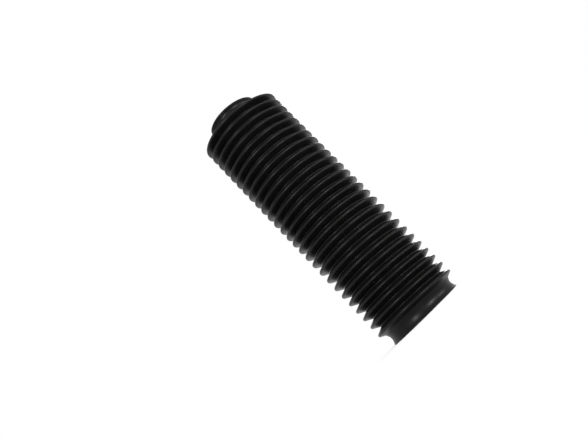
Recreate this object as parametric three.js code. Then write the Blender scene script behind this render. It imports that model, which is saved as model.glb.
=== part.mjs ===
// A bellows gaiter for a motorbike's front fork, standing on its wide cuff.
// Lengths are in millimetres. The axis is +Z, from the wide cuff's face at the
// origin up to the small collar. The whole gaiter is one rubber moulding, so it
// is one solid of revolution: an outer skin, and an inner skin that follows it.

import * as THREE from 'three';

// Bellows
const crestCount = 27;
const crestDiameter = 70;
const pleatDepth = 5.8;
const pitchAtWideEnd = 7.6;
const pitchAtSmallEnd = 6.95;
const crestLand = 1;
const valleyLand = 0.8;
const bellowsWall = 1.4;

// Wide cuff, which grips the fork slider under a clip in its groove
const wideCuff = {
  height: 11.6,
  bore: 55.4,
  wall: 1.6,
  lipProud: 1.2,
  lipLand: 0.6,
  mouthChamfer: 1.4,
  shoulderRise: 1.5,
  shoulderDrop: 2.6,
};

// Small collar, which grips the stanchion under a clip in its groove
const smallCollar = {
  height: 12.4,
  bore: 36,
  wall: 1.9,
  lipProud: 1.4,
  lipLand: 1.2,
  mouthChamfer: 0.8,
  shoulderRise: 3,
  shoulderDrop: 4.5,
};

// Fineness of the round shapes
const sidesAround = 24;
const grooveSteps = 5;

// Rubber
const rubberColor = 0x161616;
const rubberRoughness = 0.45;

// Length of the bellows from its first crest to its last
function bellowsLength() {
  return ((crestCount - 1) * (pitchAtWideEnd + pitchAtSmallEnd)) / 2;
}

// Distance between a crest and the next one, which eases evenly along the bellows
function pitchAfter(crest) {
  const share = crestCount > 2 ? crest / (crestCount - 2) : 0;
  return THREE.MathUtils.lerp(pitchAtWideEnd, pitchAtSmallEnd, share);
}

// Heights of all the crests, from the wide end up
function crestHeights() {
  const heights = [wideCuff.height];
  for (let crest = 0; crest < crestCount - 1; crest += 1) {
    heights.push(heights[crest] + pitchAfter(crest));
  }
  return heights;
}

// Slope of a pleat's flank, as an angle from the axis
function flankAngle(pitch) {
  const run = (pitch - crestLand - valleyLand) / 2;
  return Math.atan2(pleatDepth, run);
}

// Outer skin of the bellows: a narrow land on each crest and in each valley
function outerPleats(heights) {
  const crestRadius = crestDiameter / 2;
  const valleyRadius = crestRadius - pleatDepth;
  const points = [];
  heights.forEach((height, crest) => {
    points.push(new THREE.Vector2(crestRadius, height - crestLand / 2));
    points.push(new THREE.Vector2(crestRadius, height + crestLand / 2));
    if (crest < crestCount - 1) {
      const valley = height + pitchAfter(crest) / 2;
      points.push(new THREE.Vector2(valleyRadius, valley - valleyLand / 2));
      points.push(new THREE.Vector2(valleyRadius, valley + valleyLand / 2));
    }
  });
  return points;
}

// Inner skin of the bellows, one wall inside the outer skin: a groove behind
// each crest and a wider land behind each valley
function innerPleats(heights) {
  const crestRadius = crestDiameter / 2;
  const landRadius = crestRadius - pleatDepth - bellowsWall;
  const points = [];
  heights.forEach((height, crest) => {
    const pitch = pitchAfter(Math.min(crest, crestCount - 2));
    const angle = flankAngle(pitch);
    const roundedDepth = bellowsWall / Math.cos(angle) - (crestLand / 2) * Math.tan(angle);
    const grooveRadius = crestRadius - Math.max(bellowsWall, roundedDepth);
    points.push(new THREE.Vector2(grooveRadius, height));
    if (crest < crestCount - 1) {
      const valley = height + pitch / 2;
      const halfLand = valleyLand / 2 + bellowsWall * Math.tan(angle / 2);
      points.push(new THREE.Vector2(landRadius, valley - halfLand));
      points.push(new THREE.Vector2(landRadius, valley + halfLand));
    }
  });
  return points;
}

// Outside of a cuff, from the end face to the foot of the shoulder. Heights run
// from the end face. The clip's groove is one smooth hollow between the lip and
// the shoulder, and its floor is one wall outside the bore.
function cuffOutside(cuff) {
  const floorRadius = cuff.bore / 2 + cuff.wall;
  const lipRadius = floorRadius + cuff.lipProud;
  const footRadius = floorRadius + cuff.shoulderRise;
  const footHeight = cuff.height - cuff.shoulderDrop;
  const pull = Math.sqrt(cuff.lipProud * cuff.shoulderRise);
  const groove = new THREE.QuadraticBezierCurve(
    new THREE.Vector2(lipRadius, cuff.lipLand),
    new THREE.Vector2(floorRadius - pull, (cuff.lipLand + footHeight) / 2),
    new THREE.Vector2(footRadius, footHeight),
  );
  return [new THREE.Vector2(lipRadius, 0), ...groove.getPoints(grooveSteps)];
}

// Inside of a cuff, from the end face to the inner corner of the shoulder
function cuffInside(cuff) {
  const boreRadius = cuff.bore / 2;
  return [
    new THREE.Vector2(boreRadius + cuff.mouthChamfer, 0),
    new THREE.Vector2(boreRadius, cuff.mouthChamfer),
    new THREE.Vector2(boreRadius, cuff.height - cuff.shoulderDrop),
  ];
}

// Turns an outline measured down from the top face into one that runs up to it
function hungFromTop(points, topHeight) {
  return points.map((point) => new THREE.Vector2(point.x, topHeight - point.y)).reverse();
}

// The closed section of the gaiter: up the outside, across the top face, down
// the inside and back across the bottom face
function gaiterSection() {
  const heights = crestHeights();
  const topHeight = wideCuff.height + bellowsLength() + smallCollar.height;
  const outside = [
    ...cuffOutside(wideCuff),
    ...outerPleats(heights),
    ...hungFromTop(cuffOutside(smallCollar), topHeight),
  ];
  const inside = [
    ...cuffInside(wideCuff),
    ...innerPleats(heights),
    ...hungFromTop(cuffInside(smallCollar), topHeight),
  ];
  const section = [...outside, ...inside.reverse()];
  section.push(section[0].clone());
  return section;
}

// The moulding itself, turned so that its axis stands along +Z
function makeGaiter() {
  const geometry = new THREE.LatheGeometry(gaiterSection(), sidesAround);
  geometry.rotateX(Math.PI / 2);
  const material = new THREE.MeshStandardMaterial({
    color: rubberColor,
    roughness: rubberRoughness,
    metalness: 0,
  });
  const mesh = new THREE.Mesh(geometry, material);
  mesh.name = 'gaiter';
  return mesh;
}

const forkGaiter = new THREE.Group();
forkGaiter.name = 'fork_gaiter';
forkGaiter.add(makeGaiter());

export default forkGaiter;
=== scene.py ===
"""Dresses a motorbike fork gaiter in moulded black rubber and sets up its photograph.

The gaiter stands upright on its wide cuff, with its axis along +Z, and every length
is in metres. The camera stands low in front and is rolled, so that the gaiter runs
across the picture from its wide cuff, lower right, to its small collar, upper left.
"""

import logging
import math
from dataclasses import dataclass, field
from enum import Enum

import bpy
from mathutils import Matrix, Vector


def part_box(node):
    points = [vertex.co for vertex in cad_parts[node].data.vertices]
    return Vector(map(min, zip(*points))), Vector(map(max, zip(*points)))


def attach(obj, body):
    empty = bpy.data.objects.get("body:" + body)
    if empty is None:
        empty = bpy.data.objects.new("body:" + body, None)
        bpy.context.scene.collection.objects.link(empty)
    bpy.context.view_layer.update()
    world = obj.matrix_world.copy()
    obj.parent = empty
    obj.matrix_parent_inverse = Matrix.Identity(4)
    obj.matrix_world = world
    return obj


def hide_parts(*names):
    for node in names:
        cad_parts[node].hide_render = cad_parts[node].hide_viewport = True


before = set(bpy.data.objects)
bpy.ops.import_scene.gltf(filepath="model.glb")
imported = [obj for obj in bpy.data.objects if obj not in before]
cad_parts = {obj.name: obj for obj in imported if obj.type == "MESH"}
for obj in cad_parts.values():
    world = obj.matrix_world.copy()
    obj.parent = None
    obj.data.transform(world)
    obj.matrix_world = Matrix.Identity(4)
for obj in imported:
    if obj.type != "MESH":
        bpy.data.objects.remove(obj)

log = logging.getLogger("fork_gaiter")

MM = 0.001
WHITE = (1.0, 1.0, 1.0, 1.0)
DOWN_TO_LEVEL_DEGREES = 90.0
PICTURE_WIDTH_PIXELS = 588
SENSOR_WIDTH_MM = 36.0

# What feeds a node's input: a socket to link, or a number.
Feed = bpy.types.NodeSocket | float


class CuffEnd(Enum):
    """The end of the gaiter that a cuff closes."""

    WIDE = "wide cuff at the floor"
    SMALL = "small collar at the top"


@dataclass(frozen=True)
class CuffSizes:
    """Sizes of a cuff in metres, with heights counted from its end face.

    The groove for the clip is one smooth hollow between the lip and the shoulder.
    """

    end: CuffEnd
    height: float
    bore_radius: float
    wall: float
    lip_proud: float
    lip_land: float
    mouth_chamfer: float
    shoulder_rise: float
    shoulder_drop: float
    edge_round: float

    @property
    def floor_radius(self) -> float:
        """Radius of the groove's floor."""
        return self.bore_radius + self.wall

    @property
    def lip_radius(self) -> float:
        """Radius of the lip's outer edge."""
        return self.floor_radius + self.lip_proud

    @property
    def foot(self) -> Vector:
        """Foot of the shoulder, as radius and height."""
        return Vector((self.floor_radius + self.shoulder_rise, self.height - self.shoulder_drop))


@dataclass(frozen=True)
class PleatSizes:
    """Sizes of the bellows' pleats in metres."""

    crests: int = 27
    depth: float = 5.8 * MM
    pitch_at_wide_end: float = 7.6 * MM
    pitch_at_small_end: float = 6.95 * MM
    crest_round: float = 1.1 * MM
    valley_round: float = 0.5 * MM
    wall: float = 1.4 * MM
    inner_round: float = 0.5 * MM


WIDE_CUFF = CuffSizes(
    end=CuffEnd.WIDE,
    height=11.6 * MM,
    bore_radius=27.7 * MM,
    wall=1.6 * MM,
    lip_proud=1.2 * MM,
    lip_land=0.6 * MM,
    mouth_chamfer=1.4 * MM,
    shoulder_rise=1.5 * MM,
    shoulder_drop=2.6 * MM,
    edge_round=0.22 * MM,
)

SMALL_COLLAR = CuffSizes(
    end=CuffEnd.SMALL,
    height=12.4 * MM,
    bore_radius=18 * MM,
    wall=1.9 * MM,
    lip_proud=1.4 * MM,
    lip_land=1.2 * MM,
    mouth_chamfer=0.8 * MM,
    shoulder_rise=3 * MM,
    shoulder_drop=4.5 * MM,
    edge_round=0.3 * MM,
)


def arc(centre: Vector, radius: float, start: float, stop: float, steps: int) -> list[Vector]:
    """Makes points along an arc in the section's plane.

    Args:
        centre: The arc's centre, as radius and height.
        radius: The arc's own radius; a negative one bulges towards the axis.
        start: The first point's direction, in radians up from straight outwards.
        stop: The last point's direction.
        steps: How many chords the arc is made of.

    Returns:
        The points from start to stop, both included.
    """
    turns = [start + (stop - start) * step / steps for step in range(steps + 1)]
    return [centre + radius * Vector((math.cos(turn), math.sin(turn))) for turn in turns]


def rounded_corner(
    before: Vector, corner: Vector, after: Vector, radius: float, steps: int
) -> list[Vector]:
    """Rounds one corner of an outline with an arc that is tangent to both sides.

    Args:
        before: A point on the side that leads to the corner.
        corner: The sharp corner.
        after: A point on the side that leaves the corner.
        radius: The arc's radius.
        steps: How many chords the arc is made of.

    Returns:
        The arc's points, from the side before the corner to the side after it.
    """
    back = (before - corner).normalized()
    on = (after - corner).normalized()
    half = math.acos(max(-1.0, min(1.0, back.dot(on)))) / 2
    centre = corner + (back + on).normalized() * (radius / math.sin(half))
    first = corner + back * (radius / math.tan(half)) - centre
    last = corner + on * (radius / math.tan(half)) - centre
    sweep = math.atan2(first.x * last.y - first.y * last.x, first.dot(last))
    start = math.atan2(first.y, first.x)
    return arc(centre, radius, start, start + sweep, steps)


def tangent_turn(centre: Vector, radius: float, point: Vector, side: int) -> float:
    """Finds where a straight line from a point touches a circle.

    Args:
        centre: The circle's centre.
        radius: The circle's radius.
        point: A point outside the circle.
        side: 1 for the touching point that lies anticlockwise of the point, else -1.

    Returns:
        The direction of the touching point from the centre, in radians.
    """
    away = point - centre
    return math.atan2(away.y, away.x) + side * math.acos(radius / away.length)


def hollow(start: Vector, pull: Vector, stop: Vector, steps: int) -> list[Vector]:
    """Makes points along a smooth hollow, which is a quadratic Bezier curve.

    Args:
        start: The hollow's first point.
        pull: The point that the curve is drawn towards.
        stop: The hollow's last point.
        steps: How many chords the hollow is made of.

    Returns:
        The points from start to stop, both included.
    """
    shares = [step / steps for step in range(steps + 1)]
    return [(1 - t) ** 2 * start + 2 * t * (1 - t) * pull + t * t * stop for t in shares]


def supported(points: list[Vector], reach: float, shortest: float) -> list[Vector]:
    """Adds a point near each end of every long straight stretch of an outline.

    The extra points keep the smooth shading of a small round off the flat beside it.

    Args:
        points: The outline.
        reach: How far from its end each extra point lies.
        shortest: Length that a stretch has to pass to get the extra points.

    Returns:
        The outline with the extra points.
    """
    out = [points[0]]
    for a, b in zip(points, points[1:]):
        length = (b - a).length
        if length > shortest:
            out.append(a.lerp(b, reach / length))
            out.append(b.lerp(a, reach / length))
        out.append(b)
    return out


@dataclass
class GaiterSection:
    """The closed section that is turned about the axis to make the gaiter.

    The brow is the round between the lip and its groove. It takes the place of the
    groove's first chords, so the groove is drawn from the point numbered groove_from.
    """

    crest_radius: float
    pleats: PleatSizes
    wide: CuffSizes
    small: CuffSizes
    crest_steps: int = 8
    valley_steps: int = 5
    inner_steps: int = 3
    edge_steps: int = 3
    groove_steps: int = 16
    groove_from: int = 2
    support_reach: float = 0.35 * MM
    support_shortest: float = 1.05 * MM

    def pitch_after(self, crest: int) -> float:
        """Gives the distance from a crest to the next one, which eases along the bellows.

        Args:
            crest: The crest's number, counted from 0 at the wide end.

        Returns:
            The distance in metres; the last crest has the same as the one below it.
        """
        share = min(crest, self.pleats.crests - 2) / (self.pleats.crests - 2)
        ease = self.pleats.pitch_at_small_end - self.pleats.pitch_at_wide_end
        return self.pleats.pitch_at_wide_end + ease * share

    def crest_height(self, crest: int) -> float:
        """Gives the height of a crest above the floor."""
        return self.wide.height + sum(self.pitch_after(below) for below in range(crest))

    @property
    def top_height(self) -> float:
        """Height of the small collar's end face."""
        return self.crest_height(self.pleats.crests - 1) + self.small.height

    def flank_angle(self, pitch: float) -> float:
        """Finds how far a pleat's flanks face up or down from straight outwards.

        Args:
            pitch: Distance between the two crests beside the pleat's valley.

        Returns:
            The angle in radians at which a flank touches both of its rounds.
        """
        rounds = self.pleats.crest_round + self.pleats.valley_round
        rise = self.pleats.depth - rounds
        run = pitch / 2
        return math.atan2(rise, run) + math.asin(rounds / math.hypot(rise, run))

    def crest_centre(self, crest: int) -> Vector:
        """Gives the centre of a crest's round."""
        return Vector((self.crest_radius - self.pleats.crest_round, self.crest_height(crest)))

    def valley_centre(self, crest: int) -> Vector:
        """Gives the centre of the round in the valley above a crest."""
        radius = self.crest_radius - self.pleats.depth + self.pleats.valley_round
        return Vector((radius, self.crest_height(crest) + self.pitch_after(crest) / 2))

    def cuff_outside(self, cuff: CuffSizes) -> list[Vector]:
        """Draws the outside of a cuff, from its end face to the foot of its shoulder.

        The groove is drawn towards a point inside its floor's radius, which lies just so
        far in that the groove itself comes down to that radius and no further.

        Args:
            cuff: The cuff's sizes.

        Returns:
            The outline, with heights counted from the end face.
        """
        face = Vector((cuff.bore_radius + cuff.mouth_chamfer, 0.0))
        corner = Vector((cuff.lip_radius, 0.0))
        lip = Vector((cuff.lip_radius, cuff.lip_land))
        past = math.sqrt(cuff.lip_proud * cuff.shoulder_rise)
        pull = Vector((cuff.floor_radius - past, (cuff.lip_land + cuff.foot.y) / 2))
        groove = hollow(lip, pull, cuff.foot, self.groove_steps)[self.groove_from:]
        edge = rounded_corner(face, corner, lip, cuff.edge_round, self.edge_steps)
        brow = rounded_corner(corner, lip, groove[0], cuff.edge_round, self.edge_steps)
        return edge + brow + groove

    def cuff_inside(self, cuff: CuffSizes, apex: Vector) -> list[Vector]:
        """Draws the inside of a cuff, from its end face to the inside of its shoulder.

        Args:
            cuff: The cuff's sizes.
            apex: The near end of the bellows' inner skin, in the cuff's own heights.

        Returns:
            The outline, with heights counted from the end face.
        """
        face = Vector((cuff.lip_radius, 0.0))
        lead = Vector((cuff.bore_radius + cuff.mouth_chamfer, 0.0))
        throat = Vector((cuff.bore_radius, cuff.mouth_chamfer))
        knee = Vector((cuff.bore_radius, cuff.height - cuff.shoulder_drop))
        lead_round = rounded_corner(face, lead, throat, cuff.edge_round, self.edge_steps)
        throat_round = rounded_corner(lead, throat, knee, cuff.edge_round, self.edge_steps)
        knee_round = rounded_corner(throat, knee, apex, cuff.edge_round, self.edge_steps)
        return lead_round + throat_round + knee_round

    def outer_pleats(self) -> list[Vector]:
        """Draws the outer skin of the bellows, from the first crest to the last.

        Returns:
            The outline, whose ends run straight on to the feet of the two shoulders.
        """
        last = self.pleats.crests - 1
        small_foot = self.placed(self.small, [self.small.foot])[0]
        points = []
        for crest in range(self.pleats.crests):
            centre = self.crest_centre(crest)
            if crest > 0:
                start = -self.flank_angle(self.pitch_after(crest - 1))
            else:
                start = tangent_turn(centre, self.pleats.crest_round, self.wide.foot, 1)
            if crest < last:
                stop = self.flank_angle(self.pitch_after(crest))
            else:
                stop = tangent_turn(centre, self.pleats.crest_round, small_foot, -1)
            points += arc(centre, self.pleats.crest_round, start, stop, self.crest_steps)
            if crest < last:
                valley = self.valley_centre(crest)
                points += arc(valley, -self.pleats.valley_round, stop, -stop, self.valley_steps)
        return points

    def inner_pleats(self) -> list[Vector]:
        """Draws the inner skin of the bellows, one wall inside the outer skin.

        Returns:
            The outline, from behind the first crest to behind the last.
        """
        last = self.pleats.crests - 1
        behind = self.pleats.wall + self.pleats.inner_round - self.pleats.crest_round
        points = []
        for crest in range(self.pleats.crests):
            angle = self.flank_angle(self.pitch_after(crest))
            below = self.flank_angle(self.pitch_after(max(crest - 1, 0)))
            centre = self.crest_centre(crest) - Vector((behind / math.cos(angle), 0.0))
            points += arc(centre, self.pleats.inner_round, -below, angle, self.inner_steps)
            if crest < last:
                valley = self.valley_centre(crest)
                bulge = self.pleats.valley_round + self.pleats.wall
                points += arc(valley, -bulge, angle, -angle, self.valley_steps)
        return points

    def placed(self, cuff: CuffSizes, points: list[Vector]) -> list[Vector]:
        """Brings an outline from a cuff's own heights to the gaiter's.

        Args:
            cuff: The cuff whose end face the heights are counted from.
            points: The outline.

        Returns:
            The outline as it runs up the gaiter.
        """
        if cuff.end is CuffEnd.WIDE:
            return points
        return [Vector((point.x, self.top_height - point.y)) for point in reversed(points)]

    def closed(self) -> list[Vector]:
        """Draws the whole section, up the outside and down the inside.

        Returns:
            The outline as radius and height, whose last point is its first again.
        """
        inner = self.inner_pleats()
        top_apex = Vector((inner[-1].x, self.top_height - inner[-1].y))
        outside = self.placed(self.wide, self.cuff_outside(self.wide))
        outside += self.outer_pleats()
        outside += self.placed(self.small, self.cuff_outside(self.small))
        inside = self.placed(self.wide, self.cuff_inside(self.wide, inner[0]))
        inside += inner
        inside += self.placed(self.small, self.cuff_inside(self.small, top_apex))
        outline = supported(outside + inside[::-1], self.support_reach, self.support_shortest)
        return outline + [outline[0]]


class NodeTree:
    """A thin layer over a node tree that adds and links nodes in one call."""

    def __init__(self, tree: bpy.types.NodeTree) -> None:
        """Wraps a tree and empties it.

        Args:
            tree: A geometry or shader node tree.
        """
        self.tree = tree
        tree.nodes.clear()

    def add(self, kind: str, inputs: dict | None = None, **settings: object) -> bpy.types.Node:
        """Adds a node.

        Args:
            kind: The node's type name.
            inputs: Socket names or places, each with a value or a socket to link.
            settings: Properties of the node itself.

        Returns:
            The new node.
        """
        node = self.tree.nodes.new(kind)
        for name, value in settings.items():
            setattr(node, name, value)
        for key, value in (inputs or {}).items():
            socket = node.inputs[key]
            if isinstance(value, bpy.types.NodeSocket):
                self.tree.links.new(value, socket)
            else:
                socket.default_value = value
        return node

    def math(self, operation: str, *values: Feed) -> bpy.types.NodeSocket:
        """Adds a Math node.

        Args:
            operation: The operation's name.
            values: What feeds its inputs, in order.

        Returns:
            The result's socket.
        """
        node = self.add("ShaderNodeMath", dict(enumerate(values)), operation=operation)
        return node.outputs[0]

    def share(self, value: Feed, low: Feed, high: Feed) -> bpy.types.NodeSocket:
        """Adds the share of the way that a value has come between two limits.

        Args:
            value: The value.
            low: The limit where the share is 0.
            high: The limit where the share is 1.

        Returns:
            The share's socket.
        """
        come = self.math("SUBTRACT", value, low)
        share = self.math("DIVIDE", come, self.math("SUBTRACT", high, low))
        return self.add("ShaderNodeClamp", {0: share}).outputs[0]


class TurnedSkinTree:
    """The Geometry Nodes tree that turns a section about +Z into a closed skin.

    A free rubber bellows isn't quite straight, so the tree also gives it a soft set by
    moving its points along the axis. The lean and the nod tip the pleats about Y and
    about X, the slump draws the pleats together and apart in one wave, and the collar
    tilt lowers one side of the small collar. The lean and the nod fade out over the
    cuffs, to nothing at the end faces.
    """

    NAME = "turned_skin"
    INPUTS = {
        "Section": "NodeSocketGeometry",
        "Sides Around": "NodeSocketInt",
        "Weld Distance": "NodeSocketFloat",
        "Lean Slope": "NodeSocketFloat",
        "Lean Swell": "NodeSocketFloat",
        "Lean From": "NodeSocketFloat",
        "Lean To": "NodeSocketFloat",
        "Slump Depth": "NodeSocketFloat",
        "Slump From": "NodeSocketFloat",
        "Slump To": "NodeSocketFloat",
        "Nod Low": "NodeSocketFloat",
        "Nod High": "NodeSocketFloat",
        "Nod From": "NodeSocketFloat",
        "Nod To": "NodeSocketFloat",
        "Collar Tilt": "NodeSocketFloat",
        "Collar Radius": "NodeSocketFloat",
        "Collar From": "NodeSocketFloat",
        "Top": "NodeSocketFloat",
        "Rubber": "NodeSocketMaterial",
    }

    def __init__(self) -> None:
        """Builds the tree with its named inputs."""
        self.group = bpy.data.node_groups.new(self.NAME, "GeometryNodeTree")
        interface = self.group.interface
        self.sockets = {
            name: interface.new_socket(name, in_out="INPUT", socket_type=kind)
            for name, kind in self.INPUTS.items()
        }
        interface.new_socket("Skin", in_out="OUTPUT", socket_type="NodeSocketGeometry")
        self.nodes = NodeTree(self.group)
        self.given = self.nodes.add("NodeGroupInput").outputs
        self._build()

    def _build(self) -> None:
        """Adds the nodes that bend a grid round the axis and weld its seams."""
        nodes, given = self.nodes, self.given
        size = nodes.add("GeometryNodeAttributeDomainSize", {"Geometry": given["Section"]})
        rows = size.outputs["Point Count"]
        columns = nodes.math("ADD", given["Sides Around"], 1)
        grid = nodes.add(
            "GeometryNodeMeshGrid",
            {"Size X": 1.0, "Size Y": 1.0, "Vertices X": columns, "Vertices Y": rows},
        )
        turned = nodes.add(
            "GeometryNodeSetPosition",
            {"Geometry": grid.outputs["Mesh"], "Position": self._place(rows)},
        )
        welded = nodes.add(
            "GeometryNodeMergeByDistance",
            {"Geometry": turned.outputs[0], "Distance": given["Weld Distance"]},
        )
        smooth = nodes.add("GeometryNodeSetShadeSmooth", {"Geometry": welded.outputs[0]})
        real = nodes.add("GeometryNodeRealizeInstances", {"Geometry": smooth.outputs[0]})
        dressed = nodes.add(
            "GeometryNodeSetMaterial",
            {"Geometry": real.outputs[0], "Material": given["Rubber"]},
        )
        nodes.add("NodeGroupOutput", {0: dressed.outputs[0]})

    def _place(self, rows: bpy.types.NodeSocket) -> bpy.types.NodeSocket:
        """Adds the place that each point of the grid goes to.

        The grid is 1 by 1 and centred, so half of it is added to count from its edges.

        Args:
            rows: How many points the section has.

        Returns:
            The place's socket.
        """
        nodes, given = self.nodes, self.given
        place = nodes.add("GeometryNodeInputPosition").outputs[0]
        across = nodes.add("ShaderNodeSeparateXYZ", {0: place}).outputs
        turn = nodes.math("MULTIPLY", nodes.math("ADD", across["X"], 0.5), math.tau)
        last_row = nodes.math("SUBTRACT", rows, 1)
        row = nodes.math("MULTIPLY", nodes.math("ADD", across["Y"], 0.5), last_row)
        sample = nodes.add(
            "GeometryNodeSampleIndex",
            {"Geometry": given["Section"], "Value": place, "Index": nodes.math("ROUND", row)},
            data_type="FLOAT_VECTOR",
            domain="POINT",
        )
        section = nodes.add("ShaderNodeSeparateXYZ", {0: sample.outputs[0]}).outputs
        x = nodes.math("MULTIPLY", section["X"], nodes.math("COSINE", turn))
        y = nodes.math("MULTIPLY", section["X"], nodes.math("SINE", turn))
        z = self._settled(x, y, section["Z"])
        return nodes.add("ShaderNodeCombineXYZ", {"X": x, "Y": y, "Z": z}).outputs[0]

    def _settled(
        self, x: bpy.types.NodeSocket, y: bpy.types.NodeSocket, height: bpy.types.NodeSocket
    ) -> bpy.types.NodeSocket:
        """Adds the height of a point once the soft set has moved it.

        Args:
            x: The point's X.
            y: The point's Y.
            height: The point's height in the straight gaiter.

        Returns:
            The settled height's socket.
        """
        nodes, given = self.nodes, self.given
        above_floor = nodes.share(height, 0.0, given["Nod From"])
        below_top = nodes.share(height, given["Top"], given["Nod To"])
        free = nodes.math("MINIMUM", above_floor, below_top)
        lean = nodes.math("MULTIPLY", nodes.math("MULTIPLY", self._lean_slope(height), free), x)
        nod = nodes.math("MULTIPLY", nodes.math("MULTIPLY", self._nod_slope(height), free), y)
        sunk = nodes.math("ADD", self._slump(height), self._collar_drop(x, height))
        leant = nodes.math("SUBTRACT", nodes.math("ADD", height, lean), sunk)
        return nodes.math("ADD", leant, nod)

    def _lean_slope(self, height: bpy.types.NodeSocket) -> bpy.types.NodeSocket:
        """Adds the slope of the pleats along X, which swells between the lean's limits.

        Args:
            height: The point's height in the straight gaiter.

        Returns:
            The slope's socket.
        """
        nodes, given = self.nodes, self.given
        come = nodes.share(height, given["Lean From"], given["Lean To"])
        wave = nodes.math("SINE", nodes.math("MULTIPLY", come, math.pi))
        swell = nodes.math("MULTIPLY", wave, given["Lean Swell"])
        return nodes.math("ADD", given["Lean Slope"], swell)

    def _nod_slope(self, height: bpy.types.NodeSocket) -> bpy.types.NodeSocket:
        """Adds the slope of the pleats along Y, which eases from one end to the other.

        Args:
            height: The point's height in the straight gaiter.

        Returns:
            The slope's socket.
        """
        nodes, given = self.nodes, self.given
        come = nodes.share(height, given["Nod From"], given["Nod To"])
        rise = nodes.math("SUBTRACT", given["Nod High"], given["Nod Low"])
        return nodes.math("ADD", given["Nod Low"], nodes.math("MULTIPLY", rise, come))

    def _slump(self, height: bpy.types.NodeSocket) -> bpy.types.NodeSocket:
        """Adds how far a point sinks by the slump, which lifts the upper half of its wave.

        Args:
            height: The point's height in the straight gaiter.

        Returns:
            The sinking's socket.
        """
        nodes, given = self.nodes, self.given
        come = nodes.share(height, given["Slump From"], given["Slump To"])
        wave = nodes.math("SINE", nodes.math("MULTIPLY", come, math.tau))
        return nodes.math("MULTIPLY", wave, given["Slump Depth"])

    def _collar_drop(
        self, x: bpy.types.NodeSocket, height: bpy.types.NodeSocket
    ) -> bpy.types.NodeSocket:
        """Adds how far a point sinks by the collar's tilt: most at +X, not at all at -X.

        Args:
            x: The point's X.
            height: The point's height in the straight gaiter.

        Returns:
            The sinking's socket.
        """
        nodes, given = self.nodes, self.given
        come = nodes.share(height, given["Nod To"], given["Collar From"])
        across = nodes.math("ADD", x, given["Collar Radius"])
        tilt = nodes.math("MULTIPLY", given["Collar Tilt"], across)
        return nodes.math("MULTIPLY", tilt, come)

    def applied(
        self, source: bpy.types.Object, name: str, values: dict[str, object]
    ) -> bpy.types.Object:
        """Runs the tree on an object and keeps the result as a plain mesh.

        Args:
            source: The object that holds the section; it is removed afterwards.
            name: The new object's name.
            values: A value for each named input but the section.

        Returns:
            The new object, at the origin.
        """
        modifier = source.modifiers.new(self.NAME, "NODES")
        modifier.node_group = self.group
        for label, value in values.items():
            modifier[self.sockets[label].identifier] = value
        graph = bpy.context.evaluated_depsgraph_get()
        mesh = bpy.data.meshes.new_from_object(source.evaluated_get(graph), depsgraph=graph)
        mesh.name = name
        source.modifiers.remove(modifier)
        bpy.data.objects.remove(source)
        piece = bpy.data.objects.new(name, mesh)
        bpy.context.scene.collection.objects.link(piece)
        return piece


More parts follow.
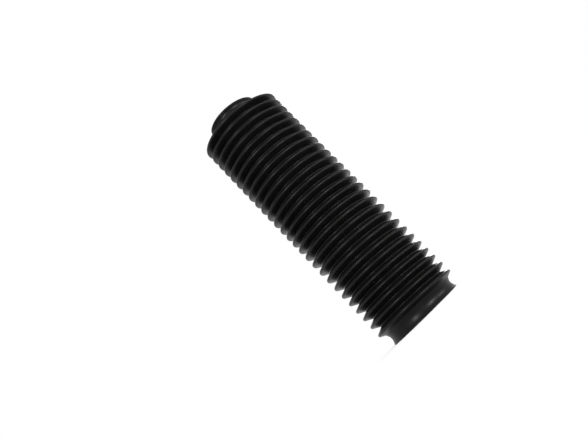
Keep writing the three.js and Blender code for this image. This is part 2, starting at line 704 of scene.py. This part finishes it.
@dataclass(frozen=True)
class RubberFinish:
    """Black moulded rubber: a satin skin with fine grain and faint rings from the mould."""

    name: str = "black_rubber"
    dark: tuple[float, float, float] = (0.003, 0.003, 0.003)
    light: tuple[float, float, float] = (0.0052, 0.0052, 0.005)
    mottle_per_metre: float = 160.0
    mottle_detail: float = 4.0
    mottle_roughness: float = 0.6
    mottle_low: float = 0.3
    mottle_high: float = 0.7
    roughness_low: float = 0.29
    roughness_high: float = 0.38
    specular_level: float = 0.09
    grain_per_metre: float = 3200.0
    grain_detail: float = 3.0
    grain_roughness: float = 0.55
    grain_height: float = 0.0012 * MM
    ring_per_metre: float = 2600.0
    ring_detail: float = 1.0
    ring_height: float = 0.008 * MM

    def build(self) -> bpy.types.Material:
        """Builds the node material.

        Returns:
            The material, which reads only object coordinates.
        """
        material = bpy.data.materials.new(self.name)
        material.use_nodes = True
        nodes = NodeTree(material.node_tree)
        place = nodes.add("ShaderNodeTexCoord").outputs["Object"]
        mottle = nodes.add(
            "ShaderNodeTexNoise",
            {"Vector": place, "Scale": self.mottle_per_metre, "Detail": self.mottle_detail,
             "Roughness": self.mottle_roughness},
        ).outputs["Fac"]
        tint = nodes.add("ShaderNodeMix", {"Factor": mottle}, data_type="RGBA")
        tint.inputs["A"].default_value = (*self.dark, 1.0)
        tint.inputs["B"].default_value = (*self.light, 1.0)
        sheen_spread = nodes.add(
            "ShaderNodeMapRange",
            {"Value": mottle, "From Min": self.mottle_low, "From Max": self.mottle_high,
             "To Min": self.roughness_low, "To Max": self.roughness_high},
        ).outputs[0]
        rubber = nodes.add(
            "ShaderNodeBsdfPrincipled",
            {"Base Color": tint.outputs["Result"], "Roughness": sheen_spread,
             "Specular IOR Level": self.specular_level, "Normal": self._relief(nodes, place)},
        )
        nodes.add("ShaderNodeOutputMaterial", {"Surface": rubber.outputs[0]})
        return material

    def _relief(self, nodes: NodeTree, place: bpy.types.NodeSocket) -> bpy.types.NodeSocket:
        """Adds the mould's rings and the rubber's grain as two bumps.

        Args:
            nodes: The material's tree.
            place: The object coordinates.

        Returns:
            The bumped normal.
        """
        parts = nodes.add("ShaderNodeSeparateXYZ", {0: place}).outputs
        squares = [nodes.math("MULTIPLY", parts[axis], parts[axis]) for axis in ("X", "Y")]
        radius = nodes.math("SQRT", nodes.math("ADD", *squares))
        round_axis = nodes.add("ShaderNodeCombineXYZ", {"X": radius, "Z": parts["Z"]}).outputs[0]
        rings = nodes.add(
            "ShaderNodeTexNoise",
            {"Vector": round_axis, "Scale": self.ring_per_metre, "Detail": self.ring_detail},
        ).outputs["Fac"]
        grain = nodes.add(
            "ShaderNodeTexNoise",
            {"Vector": place, "Scale": self.grain_per_metre, "Detail": self.grain_detail,
             "Roughness": self.grain_roughness},
        ).outputs["Fac"]
        ringed = nodes.add("ShaderNodeBump", {"Distance": self.ring_height, "Height": rings})
        grained = nodes.add(
            "ShaderNodeBump",
            {"Distance": self.grain_height, "Height": grain, "Normal": ringed.outputs[0]},
        )
        return grained.outputs[0]


@dataclass
class Gaiter:
    """The one-piece rubber gaiter, with the soft set that its bellows has taken.

    The slopes of the lean, the nod and the collar tilt are rise over run.
    """

    node: str = "gaiter"
    piece_name: str = "gaiter_rubber"
    slot: str = "black_rubber"
    pleats: PleatSizes = field(default_factory=PleatSizes)
    wide: CuffSizes = WIDE_CUFF
    small: CuffSizes = SMALL_COLLAR
    sides_around: int = 96
    weld_distance: float = 0.002 * MM
    lean_slope: float = -0.02
    lean_swell: float = -0.025
    lean_to: float = 115 * MM
    slump_depth: float = 0.9 * MM
    slump_from: float = 25.8 * MM
    slump_to: float = 112.2 * MM
    nod_low: float = -0.042
    nod_high: float = 0.038
    collar_tilt: float = 0.03

    def section_object(self) -> bpy.types.Object:
        """Makes the section as a line of edges that the tree reads.

        Returns:
            The object that holds the section in the XZ plane.
        """
        low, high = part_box(self.node)
        section = GaiterSection((high.x - low.x) / 2, self.pleats, self.wide, self.small)
        outline = section.closed()
        log.info("section: %d points, from the %s to the %s",
                 len(outline), self.wide.end.value, self.small.end.value)
        log.info("top: %.2f mm, CAD top: %.2f mm", section.top_height / MM, high.z / MM)
        mesh = bpy.data.meshes.new("section")
        edges = [(index, index + 1) for index in range(len(outline) - 1)]
        mesh.from_pydata([(point.x, 0.0, point.y) for point in outline], edges, [])
        holder = bpy.data.objects.new("section", mesh)
        bpy.context.scene.collection.objects.link(holder)
        return holder

    def build(self, finish: RubberFinish) -> bpy.types.Object:
        """Turns the section, dresses it and lets it stand for the CAD solid.

        Args:
            finish: The rubber's finish.

        Returns:
            The finished piece.
        """
        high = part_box(self.node)[1]
        values = {
            "Sides Around": self.sides_around,
            "Weld Distance": self.weld_distance,
            "Lean Slope": self.lean_slope,
            "Lean Swell": self.lean_swell,
            "Lean From": self.wide.height,
            "Lean To": self.lean_to,
            "Slump Depth": self.slump_depth,
            "Slump From": self.slump_from,
            "Slump To": self.slump_to,
            "Nod Low": self.nod_low,
            "Nod High": self.nod_high,
            "Nod From": self.wide.height,
            "Nod To": high.z - self.small.height,
            "Collar Tilt": self.collar_tilt,
            "Collar Radius": self.small.lip_radius,
            "Collar From": high.z - self.small.foot.y,
            "Top": high.z,
            "Rubber": finish.build(),
        }
        piece = TurnedSkinTree().applied(self.section_object(), self.piece_name, values)
        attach(piece, "root")
        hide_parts(self.node)
        return piece


def seen_share(nodes: NodeTree) -> bpy.types.NodeSocket:
    """Adds the test for a ray that shows a surface as it is.

    Args:
        nodes: The tree that the test goes in.

    Returns:
        A socket that is 1 for camera, glossy and transmission rays, else 0.
    """
    path = nodes.add("ShaderNodeLightPath").outputs
    mirrored = nodes.math("MAXIMUM", path["Is Glossy Ray"], path["Is Transmission Ray"])
    return nodes.math("MAXIMUM", path["Is Camera Ray"], mirrored)


@dataclass(frozen=True)
class WhiteFloor:
    """A wide white floor that keeps the gaiter's shadow.

    The lamps stand round the gaiter, so the floor glows less near it than far off, and
    is about as white everywhere.
    """

    half_width: float = 30.0
    albedo: float = 0.8
    near_glow: float = 0.54
    far_glow: float = 0.85
    near_reach: float = 0.1
    far_reach: float = 1.1

    def build(self) -> bpy.types.Object:
        """Makes the floor.

        Returns:
            The floor's object.
        """
        mesh = bpy.data.meshes.new("floor")
        reach = self.half_width
        corners = [(x * reach, y * reach, 0.0) for x, y in ((-1, -1), (1, -1), (1, 1), (-1, 1))]
        mesh.from_pydata(corners, [], [(0, 1, 2, 3)])
        mesh.materials.append(self._material())
        floor = bpy.data.objects.new("floor", mesh)
        bpy.context.scene.collection.objects.link(floor)
        return floor

    def _material(self) -> bpy.types.Material:
        """Makes the floor's material.

        Returns:
            A matt white that glows a little to the camera and in reflections.
        """
        material = bpy.data.materials.new("white_floor")
        material.use_nodes = True
        nodes = NodeTree(material.node_tree)
        matt = nodes.add("ShaderNodeBsdfDiffuse", {"Color": (self.albedo,) * 3 + (1.0,)})
        place = nodes.add("ShaderNodeTexCoord").outputs["Object"]
        reach = nodes.add("ShaderNodeVectorMath", {0: place}, operation="LENGTH").outputs["Value"]
        glow = nodes.add(
            "ShaderNodeMapRange",
            {"Value": reach, "From Min": self.near_reach, "From Max": self.far_reach,
             "To Min": self.near_glow, "To Max": self.far_glow},
        ).outputs[0]
        strength = nodes.math("MULTIPLY", seen_share(nodes), glow)
        light = nodes.add("ShaderNodeEmission", {"Strength": strength})
        both = nodes.add("ShaderNodeAddShader", {0: matt.outputs[0], 1: light.outputs[0]})
        nodes.add("ShaderNodeOutputMaterial", {"Surface": both.outputs[0]})
        return material


@dataclass(frozen=True)
class Softbox:
    """A soft area lamp, aimed at a point of the gaiter's axis.

    The azimuth and the elevation are in degrees, from straight in front and from level.
    """

    name: str
    azimuth: float
    elevation: float
    distance: float
    width: float
    height: float
    watts: float
    aim_height: float = 0.1

    def build(self) -> bpy.types.Object:
        """Makes the lamp.

        Returns:
            The lamp's object.
        """
        lamp = bpy.data.lights.new(self.name, "AREA")
        lamp.shape = "RECTANGLE"
        lamp.size = self.width
        lamp.size_y = self.height
        lamp.energy = self.watts
        turn, rise = math.radians(self.azimuth), math.radians(self.elevation)
        level = Vector((math.sin(turn), -math.cos(turn), 0.0)) * math.cos(rise)
        away = level + Vector((0.0, 0.0, math.sin(rise)))
        holder = bpy.data.objects.new(self.name, lamp)
        holder.location = Vector((0.0, 0.0, self.aim_height)) + away * self.distance
        holder.rotation_euler = away.to_track_quat("Z", "Y").to_euler()
        holder.visible_camera = False
        bpy.context.scene.collection.objects.link(holder)
        return holder


@dataclass(frozen=True)
class Studio:
    """The white room round the gaiter: sky, floor and softboxes."""

    sky_for_light: float = 0.2
    floor: WhiteFloor = WhiteFloor()
    softboxes: tuple[Softbox, ...] = (
        Softbox("strip_softbox", azimuth=-25.0, elevation=6.0, distance=0.8,
                width=0.13, height=0.36, watts=5.0),
        Softbox("window_softbox", azimuth=37.0, elevation=2.0, distance=0.9,
                width=0.32, height=0.18, watts=6.8),
        Softbox("side_softbox", azimuth=76.0, elevation=4.0, distance=0.9,
                width=0.5, height=0.16, watts=3.2),
        Softbox("back_softbox", azimuth=163.0, elevation=18.0, distance=1.1,
                width=0.5, height=0.4, watts=7.0),
    )

    def build(self) -> None:
        """Makes the sky, the floor and the lamps, and sets plain colour handling."""
        scene = bpy.context.scene
        scene.view_settings.view_transform = "Standard"
        scene.world = self._sky()
        self.floor.build()
        for softbox in self.softboxes:
            softbox.build()

    def _sky(self) -> bpy.types.World:
        """Makes the sky.

        Returns:
            A world that is white where it is seen and dimmer as a light.
        """
        world = bpy.data.worlds.new("white_room")
        world.use_nodes = True
        nodes = NodeTree(world.node_tree)
        dim = nodes.add("ShaderNodeBackground", {"Color": WHITE, "Strength": self.sky_for_light})
        white = nodes.add("ShaderNodeBackground", {"Color": WHITE, "Strength": 1.0})
        mixed = nodes.add(
            "ShaderNodeMixShader",
            {0: seen_share(nodes), 1: dim.outputs[0], 2: white.outputs[0]},
        )
        nodes.add("ShaderNodeOutputWorld", {"Surface": mixed.outputs[0]})
        return world


@dataclass(frozen=True)
class LowCamera:
    """The photograph's camera: low in front of the gaiter, looking up and rolled.

    The angles are in degrees. The point that the lens faces lies to the right of the
    picture's middle by centre_right_pixels, and above it by centre_up_pixels.
    """

    distance: float = 441.2 * MM
    height: float = 9.5 * MM
    focal_pixels: float = 600.0
    pan: float = 1.01
    pitch: float = 12.56
    roll: float = 44.48
    centre_right_pixels: float = 36.5
    centre_up_pixels: float = 17.5
    clip_near: float = 0.01
    clip_far: float = 200.0

    def build(self) -> bpy.types.Object:
        """Makes the camera and hands it to the scene.

        Returns:
            The camera's object.
        """
        data = bpy.data.cameras.new("low_camera")
        data.sensor_width = SENSOR_WIDTH_MM
        data.lens = self.focal_pixels * SENSOR_WIDTH_MM / PICTURE_WIDTH_PIXELS
        data.shift_x = -self.centre_right_pixels / PICTURE_WIDTH_PIXELS
        data.shift_y = -self.centre_up_pixels / PICTURE_WIDTH_PIXELS
        data.clip_start = self.clip_near
        data.clip_end = self.clip_far
        camera = bpy.data.objects.new("low_camera", data)
        rise = math.radians(DOWN_TO_LEVEL_DEGREES + self.pitch)
        pitched = Matrix.Rotation(rise, 4, "X")
        panned = Matrix.Rotation(math.radians(-self.pan), 4, "Z") @ pitched
        rolled = panned @ Matrix.Rotation(math.radians(-self.roll), 4, "Z")
        camera.matrix_world = Matrix.Translation((0.0, -self.distance, self.height)) @ rolled
        bpy.context.scene.collection.objects.link(camera)
        bpy.context.scene.camera = camera
        return camera


def main() -> None:
    """Builds the camera, the gaiter and the studio, and reports each piece."""
    logging.basicConfig(level=logging.INFO, format="%(name)s: %(message)s")
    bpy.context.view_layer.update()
    camera = LowCamera().build()
    log.info("%s: %.1f mm lens", camera.name, camera.data.lens)
    piece = Gaiter().build(RubberFinish())
    log.info("%s: %d faces", piece.name, len(piece.data.polygons))
    studio = Studio()
    studio.build()
    log.info("studio: floor and %d softboxes", len(studio.softboxes))


if __name__ == "__main__":
    main()
